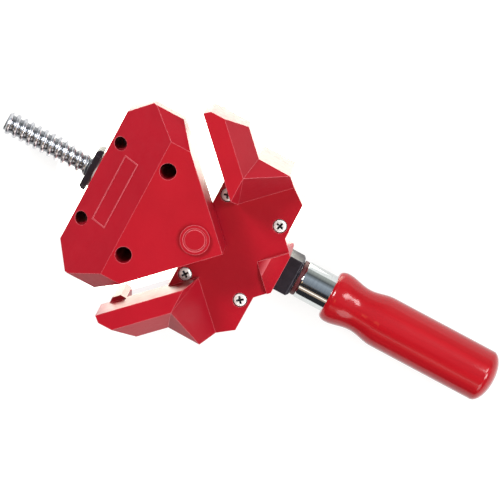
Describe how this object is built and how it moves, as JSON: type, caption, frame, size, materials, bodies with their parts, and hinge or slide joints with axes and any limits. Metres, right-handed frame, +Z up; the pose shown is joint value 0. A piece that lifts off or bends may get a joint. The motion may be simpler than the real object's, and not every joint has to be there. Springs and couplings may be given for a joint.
{
  "type": "corner clamp",
  "caption": "Right-angle corner clamp: a three-cornered jaw on a screw spindle with a turned handle closes against a two-winged cast jaw.",
  "frame": {"origin": "point under the corner where the two fixed clamping planes meet, on the underside of the fixed jaw", "axes": "+X along the spindle towards the handle, +Z up from the bench"},
  "size_m": [0.2812, 0.1226, 0.0561],
  "materials": {
    "red_casting": "satin powder coat",
    "black_steel": "blackened",
    "spindle_steel": "zinc plated thread",
    "zinc_steel": "zinc plated",
    "chrome_ferrule": "polished",
    "lacquered_wood": "red gloss lacquer",
    "bronze": "plain bearing"
  },
  "bodies": {
    "outer_jaw": {"jaw_lower": "red_casting", "jaw_upper": "red_casting", "shell_screws": "zinc_steel", "shell_dowels": "zinc_steel", "front_bush": "bronze", "bearing_block": "black_steel"},
    "screw": {"spindle": "spindle_steel", "thrust_collar": "zinc_steel", "collar_pin": "black_steel", "rear_washer": "red_casting", "ferrule": "chrome_ferrule", "ferrule_pin": "black_steel", "handle": "lacquered_wood"},
    "nut": {"trunnion_nut": "black_steel", "nut_sleeve": "zinc_steel", "end_plate": "black_steel", "plate_clip": "zinc_steel", "pivot_button": "red_casting", "button_screw": "zinc_steel"},
    "inner_jaw": {"cap": "red_casting", "pivot_bush": "bronze", "underframe": "red_casting", "cap_bolts": "black_steel"}
  },
  "joints": [
    {"name": "spindle_turn", "type": "hinge", "parent": "outer_jaw", "child": "screw", "pos_m": [0, 0, 0.015], "axis": [1, 0, 0], "range_deg": [-903, 3783]},
    {"name": "jaw_travel", "type": "slide", "parent": "outer_jaw", "child": "nut", "axis": [1, 0, 0], "range_m": [-0.042, 0.01]},
    {"name": "jaw_swivel", "type": "hinge", "parent": "nut", "child": "inner_jaw", "pos_m": [-0.03239, 0, 0.04], "axis": [0, 0, 1], "range_deg": [-2.5, 2.5]}
  ],
  "couplings": [
    {"joint": "spindle_turn", "follows": "jaw_travel", "rad_per_m": -1570.8}
  ]
}
